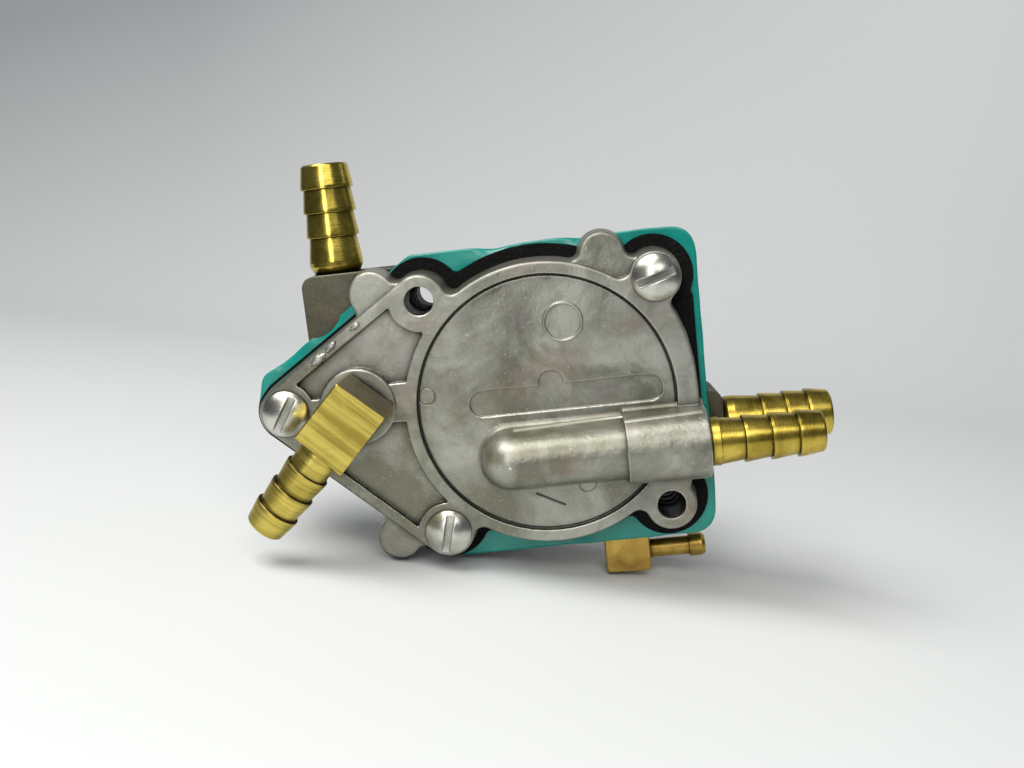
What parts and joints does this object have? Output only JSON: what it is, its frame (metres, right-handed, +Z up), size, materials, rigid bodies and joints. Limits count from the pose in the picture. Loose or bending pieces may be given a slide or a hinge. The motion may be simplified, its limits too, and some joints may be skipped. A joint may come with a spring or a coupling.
{
  "type": "diaphragm pump",
  "caption": "Pulse-driven twin diaphragm pump in a stack of castings, with brass hose barbs, a brass inlet elbow, check valves and a pulse fitting.",
  "frame": {"origin": "middle of the two mounting holes on the back mounting face", "axes": "+Y out of the back mounting face, so the front cover faces -Y; +X along the outlet barbs; +Z up along the top inlet barb"},
  "size_m": [0.1312, 0.048, 0.1015],
  "materials": {
    "cover_casting": "satin die casting, stained",
    "body_casting": "rough die casting, weathered",
    "gasket": "matte fibre-filled sheet",
    "film": "semi-gloss diaphragm sheet",
    "brass": "turned and sawn brass, lightly tarnished",
    "screw": "bright plated steel",
    "valve_rubber": "matte",
    "plate": "pressed sheet"
  },
  "bodies": {
    "housing": {"front_cover": "cover_casting", "pump_body": "body_casting", "back_cover": "body_casting", "front_gasket": "gasket", "rear_gasket": "gasket", "front_diaphragm": "film", "rear_diaphragm": "film", "front_inlet_plug": "valve_rubber", "front_outlet_plug": "valve_rubber", "rear_inlet_plug": "valve_rubber", "rear_outlet_plug": "valve_rubber", "top_inlet_barb": "brass", "front_outlet_barb": "brass", "rear_outlet_barb": "brass", "inlet_elbow": "brass", "pulse_elbow": "brass", "cover_screw_upper": "screw", "cover_screw_lower": "screw", "cover_screw_wing": "screw"},
    "front_piston": {"front_outer_plate": "plate", "front_inner_plate": "plate", "front_rivet": "plate"},
    "rear_piston": {"rear_outer_plate": "plate", "rear_inner_plate": "plate", "rear_rivet": "plate"},
    "front_inlet_disc": {"front_inlet_valve": "valve_rubber"},
    "front_outlet_disc": {"front_outlet_valve": "valve_rubber"},
    "rear_inlet_disc": {"rear_inlet_valve": "valve_rubber"},
    "rear_outlet_disc": {"rear_outlet_valve": "valve_rubber"}
  },
  "joints": [
    {"name": "front_stroke", "type": "slide", "parent": "housing", "child": "front_piston", "axis": [0, -1, 0], "range_m": [-0.001, 0.0014], "stiffness_N_per_m": 250, "deforming": ["front_diaphragm"]},
    {"name": "rear_stroke", "type": "slide", "parent": "housing", "child": "rear_piston", "axis": [0, -1, 0], "range_m": [-0.001, 0.0014], "stiffness_N_per_m": 250, "deforming": ["rear_diaphragm"]},
    {"name": "front_inlet_lift", "type": "slide", "parent": "housing", "child": "front_inlet_disc", "axis": [0, 1, 0], "range_m": [0, 0.0008], "stiffness_N_per_m": 5},
    {"name": "front_outlet_lift", "type": "slide", "parent": "housing", "child": "front_outlet_disc", "axis": [0, -1, 0], "range_m": [0, 0.0008], "stiffness_N_per_m": 5},
    {"name": "rear_inlet_lift", "type": "slide", "parent": "housing", "child": "rear_inlet_disc", "axis": [0, 1, 0], "range_m": [0, 0.0008], "stiffness_N_per_m": 5},
    {"name": "rear_outlet_lift", "type": "slide", "parent": "housing", "child": "rear_outlet_disc", "axis": [0, -1, 0], "range_m": [0, 0.0008], "stiffness_N_per_m": 5}
  ],
  "couplings": [
    {"joint": "rear_stroke", "follows": "front_stroke", "ratio": 1}
  ]
}
